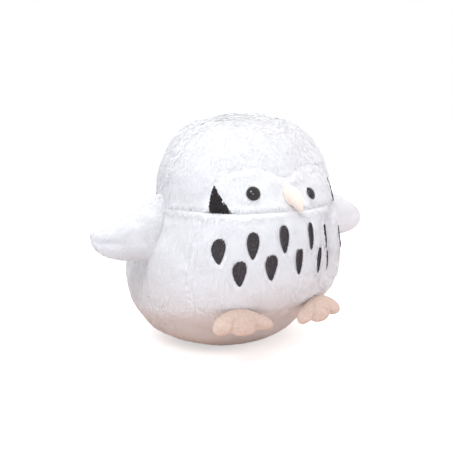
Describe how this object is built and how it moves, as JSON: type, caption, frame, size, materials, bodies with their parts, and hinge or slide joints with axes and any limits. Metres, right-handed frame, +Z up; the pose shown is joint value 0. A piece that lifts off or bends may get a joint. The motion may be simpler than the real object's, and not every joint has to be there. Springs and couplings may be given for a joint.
{
  "type": "plush owl",
  "caption": "Round stuffed owl with a wide head on a wider body, domed eyes, a padded beak, spotted breast, and stuffed wings and feet on sewn hinges.",
  "frame": {"origin": "middle of the flat face that the owl rests on", "axes": "+Z up, -Y the way the owl looks, +X its left side"},
  "size_m": [0.2894, 0.2008, 0.21],
  "materials": {
    "black_plastic": "polished",
    "black_plush": "soft pile",
    "peach_plush": "short pile",
    "pellet_cloth": "plain weave",
    "stuffing_fibre": "loose fibre",
    "washer_plastic": "moulded",
    "white_plush": "long soft pile"
  },
  "bodies": {
    "owl": {"base_panel": "white_plush", "beak_cover": "peach_plush", "beak_filling": "stuffing_fibre", "body_filling": "stuffing_fibre", "breast_panel": "white_plush", "cheek_patch_left": "black_plush", "cheek_patch_right": "black_plush", "crown_panel": "white_plush", "eye_left": "black_plastic", "eye_right": "black_plastic", "eye_washer_left": "washer_plastic", "eye_washer_right": "washer_plastic", "face_mask": "white_plush", "head_back_panel": "white_plush", "head_filling": "stuffing_fibre", "lower_spot_1": "black_plush", "lower_spot_2": "black_plush", "lower_spot_3": "black_plush", "lower_spot_4": "black_plush", "lower_spot_5": "black_plush", "pellet_bag": "pellet_cloth", "side_panel_left": "white_plush", "side_panel_right": "white_plush", "upper_spot_1": "black_plush", "upper_spot_2": "black_plush", "upper_spot_3": "black_plush", "upper_spot_4": "black_plush", "upper_spot_5": "black_plush", "upper_spot_6": "black_plush"},
    "foot_left": {"foot_filling_left": "stuffing_fibre", "foot_sole_left": "peach_plush", "foot_top_left": "peach_plush"},
    "foot_right": {"foot_filling_right": "stuffing_fibre", "foot_sole_right": "peach_plush", "foot_top_right": "peach_plush"},
    "wing_left": {"wing_back_left": "white_plush", "wing_filling_left": "stuffing_fibre", "wing_front_left": "white_plush"},
    "wing_right": {"wing_back_right": "white_plush", "wing_filling_right": "stuffing_fibre", "wing_front_right": "white_plush"}
  },
  "joints": [
    {"name": "wing_swing_right", "type": "hinge", "parent": "owl", "child": "wing_right", "pos_m": [-0.08974, -0.032, 0.11527], "axis": [0.2649, 0, 0.9643], "range_deg": [-45, 45], "stiffness_Nm_per_rad": 0.05},
    {"name": "wing_swing_left", "type": "hinge", "parent": "owl", "child": "wing_left", "pos_m": [0.08974, -0.032, 0.11527], "axis": [-0.2649, 0, 0.9643], "range_deg": [-45, 45], "stiffness_Nm_per_rad": 0.05},
    {"name": "foot_fold_right", "type": "hinge", "parent": "owl", "child": "foot_right", "pos_m": [-0.04262, -0.0941, 0.0507], "axis": [-0.9903, 0.1392, 0], "range_deg": [-10, 50], "stiffness_Nm_per_rad": 0.04},
    {"name": "foot_fold_left", "type": "hinge", "parent": "owl", "child": "foot_left", "pos_m": [0.03162, -0.0979, 0.0507], "axis": [-0.9903, -0.1392, 0], "range_deg": [-10, 50], "stiffness_Nm_per_rad": 0.04}
  ]
}
